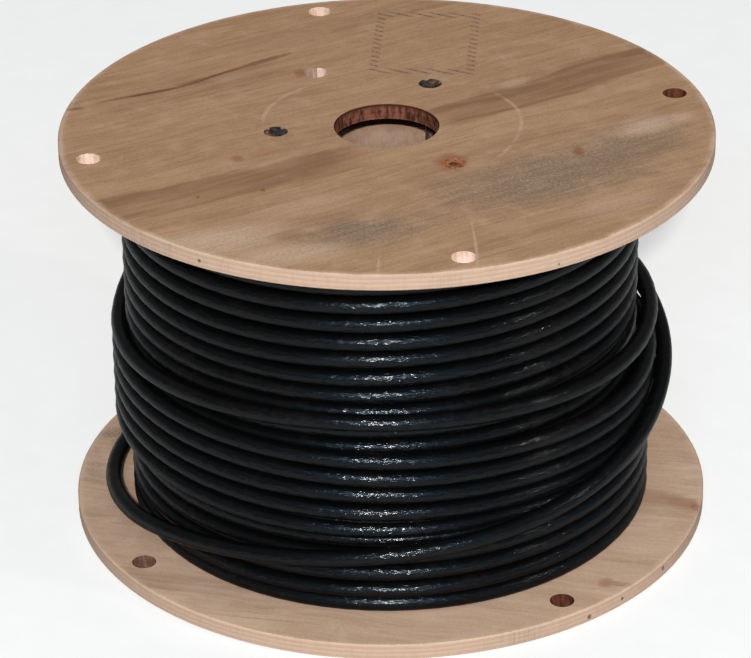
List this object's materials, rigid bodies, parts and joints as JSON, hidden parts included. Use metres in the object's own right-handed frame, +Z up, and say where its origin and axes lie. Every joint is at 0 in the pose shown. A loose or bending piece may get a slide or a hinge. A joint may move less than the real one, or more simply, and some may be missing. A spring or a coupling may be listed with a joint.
{
  "type": "wooden cable drum",
  "caption": "Plywood cable drum with a fibre core and steel tie bolts, standing on its end and wound with glossy black cable, one outer turn hanging slack.",
  "frame": {"origin": "centre of the bottom flange's underside, where the drum stands", "axes": "+Z up along the drum's axis, +X to the right and -Y towards the viewer of the picture"},
  "size_m": [0.5079, 0.508, 0.326],
  "materials": {
    "plywood": "bare plywood",
    "core_fibre": "matte",
    "bolt_steel": "dull, part rusted",
    "cable_jacket": "glossy jacket"
  },
  "bodies": {
    "root": {"top_flange": "plywood", "bottom_flange": "plywood", "drum_core": "core_fibre", "cable_winding": "cable_jacket", "slack_turn": "cable_jacket", "tie_bolt_back": "bolt_steel", "tie_bolt_left": "bolt_steel", "tie_bolt_front": "bolt_steel", "tee_nut_back": "bolt_steel", "tee_nut_left": "bolt_steel", "tee_nut_front": "bolt_steel"}
  },
  "joints": []
}
